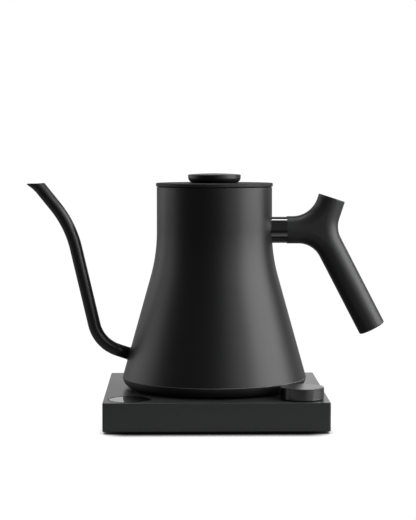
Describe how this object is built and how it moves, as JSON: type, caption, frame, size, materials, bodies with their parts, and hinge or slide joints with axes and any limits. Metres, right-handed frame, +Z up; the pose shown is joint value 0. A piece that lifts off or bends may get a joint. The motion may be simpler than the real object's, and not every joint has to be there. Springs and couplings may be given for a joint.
{
  "type": "electric kettle",
  "caption": "Gooseneck electric kettle with a flared body, angled bar handle and flat lid, standing on a square power base with a round display and a dial.",
  "frame": {"origin": "centre of the square foot ring on the surface that the base stands on, which is on the kettle's own axis", "axes": "+X towards the handle, -X the way the spout points, -Y the front with the display and the dial, +Z up"},
  "size_m": [0.2924, 0.1786, 0.1999],
  "materials": {
    "body_coat": "matte black baked coating over stainless steel",
    "lid_coat": "matte black baked coating",
    "spout_coat": "matte black baked coating",
    "base_coat": "satin black fine-textured housing",
    "handle_plastic": "satin black moulded plastic",
    "knob_plastic": "matte black moulded plastic",
    "black_plastic": "black moulded plastic",
    "collar_metal": "polished dark metal",
    "dial_metal": "black anodised, turned",
    "display_glass": "glossy black tinted display window",
    "rubber": "matte black rubber",
    "silicone": "translucent grey silicone",
    "steel": "bare stainless steel",
    "aluminium": "cast plate",
    "brass": "plated contact brass",
    "pcb": "green solder mask"
  },
  "bodies": {
    "base": {"base_top_cover": "base_coat", "base_bottom_cover": "black_plastic", "foot_ring": "rubber", "base_screws": "steel", "base_socket": "black_plastic", "socket_flange": "black_plastic", "socket_contacts": "brass", "display_bezel": "black_plastic", "display_lens": "display_glass", "display_module": "black_plastic", "control_board": "pcb", "board_screws": "steel", "encoder_body": "steel", "encoder_nut": "steel", "power_board": "pcb", "relay": "black_plastic", "transformer": "black_plastic", "filter_capacitor": "black_plastic", "terminal_block": "black_plastic", "cord_gland": "rubber", "hold_switch_body": "black_plastic", "unit_switch_body": "black_plastic"},
    "dial_plunger": {"encoder_plunger": "brass"},
    "dial": {"dial_shaft": "steel", "dial_cap": "dial_metal", "dial_hub": "black_plastic"},
    "hold_slider": {"hold_slider": "black_plastic"},
    "unit_button": {"unit_button": "black_plastic"},
    "connector": {"kettle_connector": "black_plastic", "kettle_contacts": "brass"},
    "kettle": {"body_shell": "body_coat", "kettle_floor": "steel", "heat_spreader": "aluminium", "heating_element": "steel", "temperature_probe": "steel", "thermal_cutout": "steel", "bottom_cover": "black_plastic", "shell_gasket": "silicone", "cover_screws": "steel", "spout_tube": "spout_coat", "handle_shell": "handle_plastic", "handle_rod": "steel", "handle_collar": "collar_metal", "handle_screw": "steel", "stub_cap": "handle_plastic", "grip_cap": "handle_plastic", "balance_weight": "steel"},
    "lid": {"lid_plate": "lid_coat", "lid_liner": "black_plastic", "lid_seal": "silicone", "lid_knob": "knob_plastic", "knob_insert": "brass", "knob_screw": "steel"}
  },
  "joints": [
    {"name": "kettle_lift", "type": "slide", "parent": "base", "child": "connector", "axis": [0, 0, 1], "range_m": [0, 0.06]},
    {"name": "kettle_swivel", "type": "hinge", "parent": "connector", "child": "kettle", "pos_m": [0, 0, 0.05], "axis": [0, 0, 1], "continuous": true},
    {"name": "lid_lift", "type": "slide", "parent": "kettle", "child": "lid", "axis": [0, 0, 1], "range_m": [0, 0.05]},
    {"name": "dial_press", "type": "slide", "parent": "base", "child": "dial_plunger", "axis": [0, 0, 1], "range_m": [-0.0005, 0], "stiffness_N_per_m": 3000},
    {"name": "dial_turn", "type": "hinge", "parent": "dial_plunger", "child": "dial", "pos_m": [0.0675, -0.0675, 0.03], "axis": [0, 0, 1], "continuous": true},
    {"name": "hold_slide", "type": "slide", "parent": "base", "child": "hold_slider", "axis": [1, 0, 0], "range_m": [0, 0.003]},
    {"name": "unit_press", "type": "slide", "parent": "base", "child": "unit_button", "axis": [0, 1, 0], "range_m": [-0.0008, 0], "stiffness_N_per_m": 600}
  ]
}
